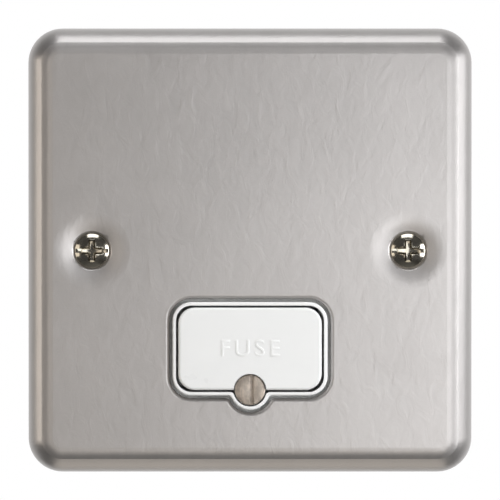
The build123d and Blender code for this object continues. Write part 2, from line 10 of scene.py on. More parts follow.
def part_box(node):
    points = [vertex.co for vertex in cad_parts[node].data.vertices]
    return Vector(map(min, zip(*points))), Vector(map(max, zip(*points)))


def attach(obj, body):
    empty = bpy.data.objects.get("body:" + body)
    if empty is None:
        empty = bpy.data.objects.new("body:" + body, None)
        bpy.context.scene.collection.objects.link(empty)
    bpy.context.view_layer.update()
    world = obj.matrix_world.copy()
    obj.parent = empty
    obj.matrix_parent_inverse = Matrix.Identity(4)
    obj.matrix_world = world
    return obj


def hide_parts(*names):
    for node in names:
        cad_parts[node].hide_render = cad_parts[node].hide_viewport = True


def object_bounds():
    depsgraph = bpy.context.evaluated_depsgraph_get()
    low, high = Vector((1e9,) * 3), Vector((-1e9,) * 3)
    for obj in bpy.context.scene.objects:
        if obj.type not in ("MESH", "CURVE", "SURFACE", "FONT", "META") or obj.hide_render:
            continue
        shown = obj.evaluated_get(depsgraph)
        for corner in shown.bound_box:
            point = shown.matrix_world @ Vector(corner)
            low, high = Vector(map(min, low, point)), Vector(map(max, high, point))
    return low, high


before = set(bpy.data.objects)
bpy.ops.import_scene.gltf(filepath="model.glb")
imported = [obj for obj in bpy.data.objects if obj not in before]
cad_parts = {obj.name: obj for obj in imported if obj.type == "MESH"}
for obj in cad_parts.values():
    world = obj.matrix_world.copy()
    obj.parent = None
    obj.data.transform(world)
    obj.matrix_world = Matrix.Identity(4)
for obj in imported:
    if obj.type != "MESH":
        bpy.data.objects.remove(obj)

bl_info = {
    "name": "Fused Spur Unit",
    "version": (1, 0, 0),
    "blender": (4, 5, 0),
    "location": "View3D > Sidebar > Spur Unit",
    "description": "Dresses a packed fused spur unit and sets up its studio",
    "category": "Object",
}

MM = 0.001
CAD_LOW, CAD_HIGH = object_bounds()

# Corners nearer than MERGE are one. A cutter goes past an outer face by HAIR where it ends there, and by MM
# where it goes right through.
MERGE = MM / 1000
HAIR = MM / 100
# Edges sharper than this stay hard in the shading.
SMOOTH_ANGLE = math.radians(35)
# Edges of a machined piece sharper than this are broken, with this many faces.
BREAK_ANGLE = math.radians(40)
BREAK_STEPS = 2
# A thread's depth and the two sides of its flat crest, as shares of its pitch.
THREAD_DEPTH = 0.61
CREST_START, CREST_END = 0.44, 0.56
# A slot's cutter is this many head radii long, so that it goes right across.
SLOT_REACH = 3
# The middle of a rounded rim lies this share of its radius in from both sides.
RIM_SAG = 0.3
# Half of the angle that one side of a hexagon takes.
HALF_SIDE = math.pi / 6
# Height of the built-in font's capitals as a share of its size.
CAPITAL_SHARE = 0.69
# The letters' rounded edge stands on straight sides, and is this share of their height.
LETTER_EDGE = 0.5
# A noise keeps mostly between these two levels, where a finish has its darkest and its lightest tone.
DARK_STOP, LIGHT_STOP = 0.3, 0.7
# A metal is smoother and rougher than its mean roughness by this share of it.
GLOSS_SPREAD = 0.25


def linear(code):
    """Turns an sRGB hex colour into the linear colour that shaders use."""
    shares = [int(code[i:i + 2], 16) / 255 for i in (1, 3, 5)]
    return tuple(c / 12.92 if c <= 0.04045 else ((c + 0.055) / 1.055) ** 2.4 for c in shares)


def length(name, description, default):
    """A length property, given in millimetres."""
    return FloatProperty(
        name=name, description=description, default=default * MM, unit="LENGTH", precision=5
    )


def angle(name, description, default):
    """An angle property, given in degrees."""
    return FloatProperty(
        name=name, description=description, default=math.radians(default), subtype="ANGLE"
    )


def factor(name, description, default):
    """A property that is a plain share or level."""
    return FloatProperty(name=name, description=description, default=default, min=0, subtype="FACTOR")


def count(name, description, default):
    """A property that counts the faces of something round."""
    return IntProperty(name=name, description=description, default=default, min=1)


def power(name, description, default):
    """A lamp's power property, given in watts."""
    return FloatProperty(name=name, description=description, default=default, min=0, unit="POWER")


def colour(name, description, code):
    """A colour property, given as an sRGB hex value."""
    return FloatVectorProperty(
        name=name, description=description, default=linear(code), subtype="COLOR", min=0, max=1
    )


class SpurColours(bpy.types.PropertyGroup):
    """Colours of the finishes."""

    lacquer: colour("Lacquer", "Satin grey lacquer of the front plate", "#B5B1AF")
    # The base's white urea is set a shade lighter than the carrier's. This is painted light: it lifts the
    # bezel ring and the walls of the groove round it, which lie in shade.
    moulding: colour("Moulding", "White urea of the base and its cover", "#FAFAF9")
    carrier: colour("Carrier", "White urea of the fuse carrier", "#F5F5F4")
    nickel: colour("Nickel", "Plating of the fixing screws", "#A49E92")
    worn_nickel: colour("Worn nickel", "Handled plating of the carrier screw", "#BAAFA4")
    brass: colour("Brass", "Terminals and contacts", "#B8934E")
    zinc: colour("Zinc", "Plating of studs, nuts and earth strap", "#B3B7BB")
    steel: colour("Steel", "Terminal and cover screws", "#A5A39E")
    tin: colour("Tin", "Fuse caps", "#C8C9C9")
    ceramic: colour("Ceramic", "Fuse barrel", "#E3DCCD")


class SpurFasteners(bpy.types.PropertyGroup):
    """Sizes of the screws, studs and nuts."""

    fixing_length: length("Fixing length", "From the edge of a fixing screw's head to its tip", 20.0)
    head_dome: length("Head dome", "Rise of a fixing screw's head above its edge", 1.15)
    head_edge: length("Head edge", "Straight edge round a fixing screw's head", 0.15)
    neck_radius: length("Neck radius", "Plain neck below a fixing screw's head", 1.5)
    neck_length: length("Neck length", "From the head's rim to the first thread", 4.6)
    fixing_radius: length("Fixing thread radius", "Outside of the fixing screws' thread", 1.75)
    fixing_pitch: length("Fixing pitch", "Pitch of the fixing screws' thread", 0.6)
    recess_span: length("Recess span", "Across the arms of the cross recess", 4.4)
    recess_arm: length("Recess arm", "Width of an arm of the cross recess", 1.4)
    recess_depth: length("Recess depth", "Depth of the cross recess", 1.7)
    recess_taper: angle("Recess taper", "Slope of the recess walls", 12)
    head_slot: length("Head slot", "Width of the slot across a fixing screw's head", 0.8)
    head_slot_depth: length("Head slot depth", "Depth of that slot from the top of the head", 1.0)
    carrier_head: length("Carrier head", "Height of the carrier screw's head", 1.7)
    carrier_rim: length("Carrier rim", "Rounding of the rim of the carrier screw's head", 0.24)
    carrier_neck: length("Carrier neck", "Radius of the plain neck below the carrier screw's head", 1.35)
    carrier_slot: length("Carrier slot", "Width of the carrier screw's slot", 0.6)
    carrier_slot_depth: length("Carrier slot depth", "Depth of the carrier screw's slot", 0.9)
    carrier_slot_offset: length("Carrier slot offset", "Slot's distance from the screw's axis", 0.35)
    small_radius: length("Small thread radius", "Outside of the carrier screw's and studs' thread", 1.5)
    small_pitch: length("Small pitch", "Pitch of the carrier screw's and studs' thread", 0.5)
    nut_flats: length("Nut flats", "Across the flats of a nut", 5.5)
    nut_face: length("Nut face", "Radius of a nut's flat ends", 2.695)
    nut_chamfer: length("Nut chamfer", "Height of the chamfer at a nut's corners", 0.3439)
    edge_break: length("Edge break", "Rounding of machined edges", 0.06)
    dome_steps: count("Dome steps", "Rings of faces on a fixing screw's domed head", 12)
    turn_steps: count("Turn steps", "Faces round a turned piece", 64)
    thread_steps: count("Thread steps", "Faces in one turn of a thread", 32)


class SpurCarrier(bpy.types.PropertyGroup):
    """Sizes of the fuse carrier."""

    end_fit: length("End fit", "Face beyond the CAD solid at either end", 0.45)
    edge_fit: length("Edge fit", "Face beyond the CAD solid along its upper and lower edge", 0.25)
    face: length("Face", "Thickness of the face", 2.6)
    corner: length("Corner", "Radius of the face's corners", 3.1)
    corner_steps: count("Corner steps", "Faces in a corner of the face", 12)
    rounding: length("Rounding", "Rounding of the face's front edge", 0.5)
    rounding_steps: count("Rounding steps", "Faces across the front edge's rounding", 5)
    head_gap: length("Head gap", "Clearance round the carrier screw's head", 0.2)
    lug_radius: length("Lug radius", "Rounded end of the screw's lug", 2.8)
    lug_thickness: length("Lug thickness", "Thickness of the screw's lug", 2.8)
    thread_gap: length("Thread gap", "Clearance round the carrier screw's thread", 0.15)
    cradle_wall: length("Cradle wall", "Wall of the cradle above and below the fuse", 1.4)
    cradle_grip: length("Cradle grip", "Cradle's reach behind the fuse's axis", 1.5)
    cradle_end_gap: length("Cradle end gap", "From the cradle to a fuse cap", 0.3)
    cradle_gap: length("Cradle gap", "Clearance round the fuse", 0.05)
    cradle_slot: length("Cradle slot", "Opening across the cradle's middle", 4.8)
    rib: length("Rib", "Thickness of a guide rib", 1.4)
    rib_inset: length("Rib inset", "Guide ribs inside the CAD face's upper and lower edge", 0.05)
    rib_inner: length("Rib inner end", "Inner end of a guide rib from the middle", 5.0)
    rib_outer: length("Rib outer end", "Outer end of a guide rib from the middle", 11.0)
    rib_length: length("Rib length", "Guide rib's reach behind the face", 6.5)


class SpurLettering(bpy.types.PropertyGroup):
    """Relief lettering on the carrier."""

    word: StringProperty(name="Word", description="Plain word moulded on the carrier", default="FUSE")
    height: length("Height", "Height of the capitals", 3.1)
    relief: length("Relief", "Height of the letters' straight sides above the carrier's face", 0.045)
    spacing: factor("Spacing", "Spacing of the letters", 1.3)
    drop: length("Drop", "Middle of the word's line below the CAD carrier's upper edge", 7.65)


class SpurStage(bpy.types.PropertyGroup):
    """Camera, lamps and floor."""

    camera_distance: length("Camera distance", "From the camera to the rim's plane", 1040.0)
    frame_width: length("Frame width", "Width of the picture at the rim's plane", 96.1)
    elevation: angle("Elevation", "Camera above the horizon", 1.0)
    lamp_distance: length("Lamp distance", "From the lamps to the plate's face", 600.0)
    key_distance: length("Key distance", "From the soft box beside the camera to the plate's face", 380.0)
    low_lamp_distance: length("Low lamp distance", "From the panel below to the plate's face", 450.0)
    key_power: power("Key power", "Soft box beside the camera", 0.288)
    left_front_power: power("Left front power", "Soft box left of the camera", 0.17)
    right_front_power: power("Right front power", "Soft box in front on the right", 0.17)
    top_front_power: power("Top front power", "Soft box in front above", 0.11)
    low_front_power: power("Low front power", "Soft box in front below", 0.14)
    right_power: power("Right power", "Panel on the right", 3.4)
    right_rear_power: power("Right rear power", "Panel behind on the right", 0.46)
    top_power: power("Top power", "Panel above", 1.65)
    top_rear_power: power("Top rear power", "Panel behind above", 0.42)
    left_power: power("Left power", "Panel on the left", 0.82)
    left_rear_power: power("Left rear power", "Panel behind on the left", 0.29)
    low_power: power("Low power", "Panel below", 0.19)
    lamp_tint: colour("Lamp tint", "Light of the lamps on the right and above", "#FBFDFF")
    warm_tint: colour("Warm tint", "Light of the lamps on the left and below", "#FFF6EA")
    ambient: factor("Ambient", "Level of the studio's walls", 0.12)
    floor_drop: length("Floor drop", "Floor below the unit's lower edge", 700.0)
    floor_size: length("Floor size", "Side of the square floor", 1600.0)
    floor: colour("Floor", "Pale floor", "#B4B4B2")


def deselect_all():
    """Leaves nothing selected."""
    bpy.ops.object.select_all(action="DESELECT")


def take(piece):
    """Selects one piece alone and makes it the active one."""
    deselect_all()
    piece.select_set(True)
    bpy.context.view_layer.objects.active = piece


def apply_modifier(piece, kind, **settings):
    """Adds a modifier to a piece and applies it."""
    take(piece)
    modifier = piece.modifiers.new(kind.title(), kind)
    for name, value in settings.items():
        setattr(modifier, name, value)
    bpy.ops.object.modifier_apply(modifier=modifier.name)


def tidy_mesh():
    """In edit mode: merges doubles, drops slivers and turns all faces outwards."""
    bpy.ops.mesh.select_all(action="SELECT")
    bpy.ops.mesh.remove_doubles(threshold=MERGE)
    bpy.ops.mesh.dissolve_degenerate(threshold=MERGE)
    bpy.ops.mesh.normals_make_consistent(inside=False)


def smooth(piece):
    """Tidies a piece's mesh and smooths its shading up to the sharp edges."""
    take(piece)
    bpy.ops.object.mode_set(mode="EDIT")
    tidy_mesh()
    bpy.ops.object.mode_set(mode="OBJECT")
    bpy.ops.object.shade_smooth_by_angle(angle=SMOOTH_ANGLE)


def draw_profile(name, corners):
    """Draws an open outline from one vertex, extruded from corner to corner, and stays in edit mode."""
    deselect_all()
    bpy.ops.mesh.primitive_plane_add(size=MM)
    piece = bpy.context.object
    piece.name = name
    bpy.ops.object.mode_set(mode="EDIT")
    bpy.ops.mesh.select_all(action="SELECT")
    bpy.ops.mesh.merge(type="CENTER")
    bpy.ops.transform.translate(value=corners[0])
    for here, there in zip(corners, corners[1:]):
        step = Vector(there) - Vector(here)
        bpy.ops.mesh.extrude_vertices_move(TRANSFORM_OT_translate={"value": step})
    bpy.ops.mesh.select_all(action="SELECT")
    return piece


def turn(name, corners, steps):
    """Turns an outline of radius and depth round the Y axis into a closed body."""
    piece = draw_profile(name, [(radius, depth, 0) for radius, depth in corners])
    bpy.ops.mesh.spin(steps=steps, angle=math.tau, center=(0, 0, 0), axis=(0, 1, 0))
    tidy_mesh()
    bpy.ops.object.mode_set(mode="OBJECT")
    return piece


def wind_thread(name, radius, pitch, start, end, steps):
    """Winds a thread round the Y axis between two depths, closes its ends and smooths it."""
    root = radius - THREAD_DEPTH * pitch
    first = start - pitch
    corners = [
        (root, first, 0),
        (radius, first + CREST_START * pitch, 0),
        (radius, first + CREST_END * pitch, 0),
        (root, first + pitch, 0),
    ]
    piece = draw_profile(name, corners)
    bpy.ops.object.mode_set(mode="OBJECT")
    # One turn more than the thread needs at either end is cut off square.
    turns = math.ceil((end - start) / pitch) + 2
    apply_modifier(piece, "SCREW", axis="Y", angle=math.tau, screw_offset=pitch, iterations=turns,
                   steps=steps, render_steps=steps)
    bpy.ops.object.mode_set(mode="EDIT")
    tidy_mesh()
    for depth, outwards in ((start, -1), (end, 1)):
        bpy.ops.mesh.select_all(action="SELECT")
        bpy.ops.mesh.bisect(plane_co=(0, depth, 0), plane_no=(0, outwards, 0), use_fill=True,
                            clear_outer=True, threshold=MERGE / 10)
    bpy.ops.object.mode_set(mode="OBJECT")
    smooth(piece)
    return piece


def cut_away(piece, cutter, operation="DIFFERENCE"):
    """Cuts one piece with another, or joins or crosses the two, and removes the other."""
    apply_modifier(piece, "BOOLEAN", operation=operation, solver="EXACT", object=cutter)
    bpy.data.objects.remove(cutter)


def block(name, low, high):
    """A block between two corners."""
    low, high = Vector(low), Vector(high)
    deselect_all()
    bpy.ops.mesh.primitive_cube_add(size=1, location=(low + high) / 2, scale=high - low)
    piece = bpy.context.object
    piece.name = name
    bpy.ops.object.transform_apply(location=True, rotation=True, scale=True)
    return piece


def move(piece, step):
    """Moves a piece's mesh."""
    take(piece)
    bpy.ops.object.mode_set(mode="EDIT")
    bpy.ops.mesh.select_all(action="SELECT")
    bpy.ops.transform.translate(value=step)
    bpy.ops.object.mode_set(mode="OBJECT")


def round_edges(piece, radius, segments, chosen):
    """Rounds the edges whose two ends pass a test."""
    take(piece)
    bpy.ops.object.mode_set(mode="EDIT")
    bpy.ops.mesh.select_mode(type="EDGE")
    bpy.ops.mesh.select_all(action="DESELECT")
    bpy.ops.object.mode_set(mode="OBJECT")
    for edge in piece.data.edges:
        edge.select = chosen(*(piece.data.vertices[i].co for i in edge.vertices))
    bpy.ops.object.mode_set(mode="EDIT")
    bpy.ops.mesh.bevel(offset=radius, segments=segments, affect="EDGES")
    bpy.ops.mesh.select_mode(type="VERT")
    bpy.ops.object.mode_set(mode="OBJECT")


def tapered_bar(name, width, depth, height, top, taper):
    """A bar cutter whose four walls lean inwards as it goes back from the depth top."""
    bar = block(name, (-width / 2, top, -height / 2), (width / 2, top + depth, height / 2))
    bpy.ops.object.mode_set(mode="EDIT")
    bpy.ops.mesh.select_all(action="DESELECT")
    bpy.ops.object.mode_set(mode="OBJECT")
    for face in bar.data.polygons:
        face.select = round(face.normal.y) == 1
    bpy.ops.object.mode_set(mode="EDIT")
    lean = 2 * depth * math.tan(taper)
    bpy.ops.transform.resize(
        value=(1 - lean / width, 1, 1 - lean / height), center_override=(0, top + depth, 0)
    )
    bpy.ops.object.mode_set(mode="OBJECT")
    return bar


def join(name, *pieces):
    """Joins pieces into one."""
    take(pieces[0])
    for piece in pieces[1:]:
        piece.select_set(True)
    bpy.ops.object.join()
    pieces[0].name = name
    return pieces[0]


def finish_machined(piece, edge_break):
    """Rounds a machined piece's edges and smooths its shading."""
    apply_modifier(piece, "BEVEL", width=edge_break, segments=BREAK_STEPS, limit_method="ANGLE",
                   angle_limit=BREAK_ANGLE, use_clamp_overlap=True)
    smooth(piece)


def wear_finish(piece, node):
    """Gives a piece the finish that a CAD node wears."""
    piece.data.materials.clear()
    piece.data.materials.append(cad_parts[node].material_slots[0].material)


def put(piece, place, body, node):
    """Moves a piece's mesh to its place and lets it stand for a CAD node, in that node's finish."""
    move(piece, place)
    wear_finish(piece, node)
    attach(piece, body)
    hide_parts(node)


def copy_of(piece, name):
    """A copy of a piece with a mesh of its own."""
    twin = piece.copy()
    twin.data = piece.data.copy()
    twin.name = name
    bpy.context.scene.collection.objects.link(twin)
    return twin


def middle(node):
    """Middle of a CAD node as seen from the front, on the plane through the origin."""
    low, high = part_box(node)
    return Vector(((low.x + high.x) / 2, 0, (low.z + high.z) / 2))


def per_metre(size):
    """Texture scale for a pattern of that size in millimetres."""
    return 1 / (size * MM)


def add_node(tree, kind, values=None, links=None):
    """Adds a node, gives it its settings and links its inputs."""
    node = tree.nodes.new("ShaderNode" + kind)
    for name, value in (values or {}).items():
        if name == "stops":
            for element, (place, shade) in zip(node.color_ramp.elements, value):
                element.position = place
                element.color = (*shade, 1)
        elif isinstance(name, int) or name in node.inputs:
            node.inputs[name].default_value = value
        else:
            setattr(node, name, value)
    for name, output in (links or {}).items():
        tree.links.new(output, node.inputs[name])
    return node


def new_material(name):
    """A material with an empty node tree, and its Object coordinates."""
    material = bpy.data.materials.new(name)
    material.use_nodes = True
    tree = material.node_tree
    tree.nodes.clear()
    return material, tree, add_node(tree, "TexCoord").outputs["Object"]


def shades(base, spread):
    """Colour stops from a little darker to a little lighter than a colour."""
    return [
        (DARK_STOP, [c * (1 - spread) for c in base]),
        (LIGHT_STOP, [min(1, c * (1 + spread)) for c in base]),
    ]


def close_material(tree, values, links):
    """Adds the surface shader and the output."""
    shader = add_node(tree, "BsdfPrincipled", values, links)
    add_node(tree, "OutputMaterial", links={"Surface": shader.outputs["BSDF"]})


def satin_lacquer(base):
    """Sprayed aluminium lacquer on pressed steel: soft broad highlight, faint clouds and orange peel."""
    material, tree, place = new_material("Satin aluminium lacquer")
    cloud = add_node(tree, "TexNoise", {"Scale": per_metre(16), "Detail": 2.0}, {"Vector": place})
    # The orange peel is a little longer from top to bottom.
    stretched = add_node(tree, "Mapping", {"Scale": (1.0, 1.0, 0.55)}, {"Vector": place})
    peel = add_node(tree, "TexNoise",
                    {"Scale": per_metre(2.2), "Detail": 2.0, "Roughness": 0.6, "Distortion": 0.8},
                    {"Vector": stretched.outputs["Vector"]})
    # Real flakes are a tenth of this size. They are drawn as coarse as they need to show.
    flake = add_node(tree, "TexNoise", {"Scale": per_metre(0.3), "Detail": 1.0}, {"Vector": place})
    # Peel and flakes tell half as much as the clouds do.
    mottle = add_node(tree, "Math", {"operation": "MULTIPLY_ADD", 1: 0.5},
                      {0: peel.outputs["Fac"], 2: cloud.outputs["Fac"]})
    grain = add_node(tree, "Math", {"operation": "MULTIPLY_ADD", 1: 0.5},
                     {0: flake.outputs["Fac"], 2: mottle.outputs["Value"]})
    level = add_node(tree, "MapRange", {"From Min": 0.5, "From Max": 1.5},
                     {"Value": grain.outputs["Value"]})
    tone = add_node(tree, "ValToRGB", {"stops": shades(base, spread=0.03)},
                    {"Fac": level.outputs["Result"]})
    gloss = add_node(tree, "MapRange", {"To Min": 0.34, "To Max": 0.42}, {"Value": peel.outputs["Fac"]})
    bump = add_node(tree, "Bump", {"Strength": 1.0, "Distance": 0.035 * MM},
                    {"Height": peel.outputs["Fac"]})
    close_material(tree, {"Metallic": 0.88, "Coat Weight": 0.25, "Coat Roughness": 0.3},
                   {"Base Color": tone.outputs["Color"], "Roughness": gloss.outputs["Result"],
                    "Normal": bump.outputs["Normal"]})
    return material


def white_urea(name, base):
    """Pressed urea moulding: hard white with a slight gloss and a faint flow pattern."""
    material, tree, place = new_material(name)
    flow = add_node(tree, "TexNoise", {"Scale": per_metre(9), "Detail": 3.0}, {"Vector": place})
    # A polished mould leaves a finer skin. It is drawn as coarse as it needs to show.
    skin = add_node(tree, "TexNoise", {"Scale": per_metre(0.6), "Detail": 1.0}, {"Vector": place})
    tone = add_node(tree, "ValToRGB", {"stops": shades(base, spread=0.015)}, {"Fac": flow.outputs["Fac"]})
    gloss = add_node(tree, "MapRange", {"To Min": 0.24, "To Max": 0.34}, {"Value": flow.outputs["Fac"]})
    bump = add_node(tree, "Bump", {"Strength": 0.1, "Distance": 0.01 * MM},
                    {"Height": skin.outputs["Fac"]})
    close_material(tree, {"IOR": 1.54},
                   {"Base Color": tone.outputs["Color"], "Roughness": gloss.outputs["Result"],
                    "Normal": bump.outputs["Normal"]})
    return material


def plated_metal(name, base, roughness, streak, spread):
    """Plated or bare metal with fine tool marks that break up its highlights.

    The streak is the marks' width along X, Y and Z in millimetres.
    """
    material, tree, place = new_material(name)
    # Most real tool marks are finer. They are drawn as coarse as they need to show.
    marks_place = add_node(tree, "Mapping", {"Scale": [per_metre(s) for s in streak]}, {"Vector": place})
    marks = add_node(tree, "TexNoise", {"Scale": 1.0, "Detail": 3.0},
                     {"Vector": marks_place.outputs["Vector"]})
    patch = add_node(tree, "TexNoise", {"Scale": per_metre(1.2), "Detail": 2.0}, {"Vector": place})
    both = add_node(tree, "Math", {"operation": "ADD"},
                    {0: marks.outputs["Fac"], 1: patch.outputs["Fac"]})
    level = add_node(tree, "MapRange", {"From Min": 0.6, "From Max": 1.4},
                     {"Value": both.outputs["Value"]})
    tone = add_node(tree, "ValToRGB", {"stops": shades(base, spread)}, {"Fac": level.outputs["Result"]})
    smoothest, roughest = roughness * (1 - GLOSS_SPREAD), roughness * (1 + GLOSS_SPREAD)
    gloss = add_node(tree, "MapRange", {"To Min": smoothest, "To Max": roughest},
                     {"Value": level.outputs["Result"]})
    bump = add_node(tree, "Bump", {"Strength": 0.15, "Distance": 0.01 * MM},
                    {"Height": marks.outputs["Fac"]})
    close_material(tree, {"Metallic": 1.0},
                   {"Base Color": tone.outputs["Color"], "Roughness": gloss.outputs["Result"],
                    "Normal": bump.outputs["Normal"]})
    return material


def unglazed_ceramic(base):
    """Fired steatite tube: matt, warm white, with a fine grit."""
    material, tree, place = new_material("Unglazed steatite")
    # Real grit is finer. It is drawn as coarse as it needs to show.
    grit = add_node(tree, "TexNoise", {"Scale": per_metre(0.35), "Detail": 2.0}, {"Vector": place})
    tone = add_node(tree, "ValToRGB", {"stops": shades(base, spread=0.05)}, {"Fac": grit.outputs["Fac"]})
    bump = add_node(tree, "Bump", {"Strength": 0.2, "Distance": 0.02 * MM},
                    {"Height": grit.outputs["Fac"]})
    close_material(tree, {"Roughness": 0.62},
                   {"Base Color": tone.outputs["Color"], "Normal": bump.outputs["Normal"]})
    return material


def pale_paper(base):
    """Matt paper sheet: an even pale grey with hardly any gloss."""
    material, tree, place = new_material("Pale paper")
    # Real fibres are finer. They are drawn as coarse as they need to show.
    fibre = add_node(tree, "TexNoise", {"Scale": per_metre(3), "Detail": 2.0}, {"Vector": place})
    tone = add_node(tree, "ValToRGB", {"stops": shades(base, spread=0.01)}, {"Fac": fibre.outputs["Fac"]})
    close_material(tree, {"Roughness": 0.9}, {"Base Color": tone.outputs["Color"]})
    return material


class SPUR_OT_finishes(bpy.types.Operator):
    """Gives every CAD node the finish of its material slot"""

    bl_idname = "spur.finishes"
    bl_label = "Finishes"

    def execute(self, context):
        colours = context.scene.spur_colours
        finishes = {
            "plate_paint": satin_lacquer(colours.lacquer),
            # Lighter than the carrier's urea: painted light on the shaded bezel ring and its groove walls.
            "white_moulding": white_urea("White urea moulding", colours.moulding),
            "carrier_moulding": white_urea("White urea carrier", colours.carrier),
            "fuse_ceramic": unglazed_ceramic(colours.ceramic),
        }
        turned = (0.12, 0.12, 0.5)
        for slot, name, base, roughness, streak, spread in (
            ("nickel_plate", "Bright nickel plate", colours.nickel, 0.14, turned, 0.1),
            ("screw_nickel", "Worn nickel plate", colours.worn_nickel, 0.55, (0.35, 0.8, 1.5), 0.22),
            ("cap_plate", "Tinned copper", colours.tin, 0.25, (2.0, 0.3, 0.3), 0.08),
            ("terminal_brass", "Cut brass", colours.brass, 0.3, (0.2, 0.2, 3.0), 0.12),
            ("contact_brass", "Rolled brass strip", colours.brass, 0.24, (0.3, 2.0, 6.0), 0.1),
            ("screw_steel", "Plated steel screw", colours.steel, 0.3, turned, 0.12),
            ("zinc_steel", "Zinc plated steel", colours.zinc, 0.38, (1.2, 1.2, 1.2), 0.12),
        ):
            finishes[slot] = plated_metal(name, base, roughness, streak, spread)
        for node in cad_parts.values():
            for slot in node.material_slots:
                slot.material = finishes[slot.material.name]
        return {"FINISHED"}


class SPUR_OT_fixing_screws(bpy.types.Operator):
    """Turns a raised countersunk screw, cuts its recess and slot, threads it and puts it in both seats"""

    bl_idname = "spur.fixing_screws"
    bl_label = "Fixing screws"

    def execute(self, context):
        sizes = context.scene.spur_fasteners
        low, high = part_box("fixing_screw_left")
        radius = (high.x - low.x) / 2
        rim = high.y - sizes.fixing_length
        top = rim - sizes.head_edge - sizes.head_dome
        thread_start = rim + sizes.neck_length
        neck_end = thread_start + sizes.fixing_pitch / 2
        sphere = (radius ** 2 + sizes.head_dome ** 2) / (2 * sizes.head_dome)
        reach = math.asin(radius / sphere)
        leans = [reach * i / sizes.dome_steps for i in range(sizes.dome_steps + 1)]
        dome = [(sphere * math.sin(lean), top + sphere * (1 - math.cos(lean))) for lean in leans]
        head = turn("fixing_screw_head", dome + [
            (radius, rim),
            (sizes.neck_radius, rim + radius - sizes.neck_radius),
            (sizes.neck_radius, neck_end),
            (0, neck_end),
        ], sizes.turn_steps)

        span, arm = sizes.recess_span, sizes.recess_arm
        for width, height in ((span, arm), (arm, span)):
            cutter = tapered_bar("recess_arm", width, sizes.recess_depth, height, top, sizes.recess_taper)
            cut_away(head, cutter)
        slot = tapered_bar("head_slot", SLOT_REACH * radius, sizes.head_slot_depth, sizes.head_slot, top, 0)
        cut_away(head, slot)
        finish_machined(head, sizes.edge_break)
        thread = wind_thread("fixing_screw_thread", sizes.fixing_radius, sizes.fixing_pitch,
                             thread_start, high.y, sizes.thread_steps)
        screw = join("fixing_screw_left_threaded", head, thread)
        twin = copy_of(screw, "fixing_screw_right_threaded")
        for node, piece in (("fixing_screw_right", twin), ("fixing_screw_left", screw)):
            put(piece, middle(node), "unit", node)
        return {"FINISHED"}


class SPUR_OT_carrier(bpy.types.Operator):
    """Moulds the carrier with a close-fitting face, its screw's lug, the fuse's cradle and guide ribs"""

    bl_idname = "spur.carrier"
    bl_label = "Carrier"

    def execute(self, context):
        sizes = context.scene.spur_carrier
        screw_sizes = context.scene.spur_fasteners
        low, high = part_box("fuse_carrier")
        fuse_low, fuse_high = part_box("fuse_barrel")
        screw_low, screw_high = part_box("carrier_screw")
        screw = middle("carrier_screw")
        axis = (fuse_low + fuse_high) / 2
        barrel = (fuse_high.z - fuse_low.z) / 2
        rear = low.y + sizes.face
        root = low.y + sizes.face / 2
        face_half = high.z - axis.z
        edge = face_half + sizes.edge_fit
        lug_front = screw_low.y + screw_sizes.carrier_head
        lug_rear = lug_front + sizes.lug_thickness
        cradle_x = -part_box("fuse_cap_left")[1].x - sizes.cradle_end_gap
        cradle_z = barrel + sizes.cradle_wall

        carrier = block("fuse_carrier_moulded", (low.x - sizes.end_fit, low.y, axis.z - edge),
                        (high.x + sizes.end_fit, rear, axis.z + edge))
        # First the four edges from front to rear are rounded, then the outline of the front.
        round_edges(carrier, sizes.corner, sizes.corner_steps, lambda a, b: abs(a.y - b.y) > MM)
        round_edges(carrier, sizes.rounding, sizes.rounding_steps,
                    lambda a, b: max(a.y, b.y) < low.y + HAIR)

        lug = turn("lug", [
            (0, lug_front), (sizes.lug_radius, lug_front), (sizes.lug_radius, lug_rear), (0, lug_rear),
        ], screw_sizes.turn_steps)
        move(lug, screw)
        lug_arm = block("lug_arm", (-sizes.lug_radius, lug_front, screw.z),
                        (sizes.lug_radius, lug_rear, axis.z - barrel))
        cradle = block("cradle", (-cradle_x, root, axis.z - cradle_z),
                       (cradle_x, axis.y + sizes.cradle_grip, axis.z + cradle_z))
        rib_top = axis.z + face_half - sizes.rib_inset
        rib_bottom = axis.z - face_half + sizes.rib_inset + sizes.rib
        ribs = [
            block("rib", (x, root, z - sizes.rib),
                  (x + sizes.rib_outer - sizes.rib_inner, rear + sizes.rib_length, z))
            for x in (-sizes.rib_outer, sizes.rib_inner) for z in (rib_bottom, rib_top)
        ]
        for addition in (lug, lug_arm, cradle, *ribs):
            cut_away(carrier, addition, "UNION")

        deselect_all()
        bpy.ops.mesh.primitive_cylinder_add(
            vertices=screw_sizes.turn_steps, radius=barrel + sizes.cradle_gap, depth=2 * (cradle_x + MM),
            location=axis, rotation=(0, math.pi / 2, 0)
        )
        fuse_seat = bpy.context.object
        slot = block("slot", (-sizes.cradle_slot / 2, axis.y - barrel, axis.z - cradle_z - HAIR),
                     (sizes.cradle_slot / 2, axis.y + barrel, axis.z + cradle_z + HAIR))
        head_radius = (screw_high.x - screw_low.x) / 2 + sizes.head_gap
        thread_radius = screw_sizes.small_radius + sizes.thread_gap
        hole = turn("screw_hole", [
            (0, low.y - MM), (head_radius, low.y - MM), (head_radius, lug_front),
            (thread_radius, lug_front), (thread_radius, lug_rear + MM), (0, lug_rear + MM),
        ], screw_sizes.turn_steps)
        move(hole, screw)
        for cutter in (fuse_seat, slot, hole):
            cut_away(carrier, cutter)
        smooth(carrier)
        apply_modifier(carrier, "WEIGHTED_NORMAL", weight=100, keep_sharp=True)
        put(carrier, (0, 0, 0), "carrier", "fuse_carrier")
        return {"FINISHED"}


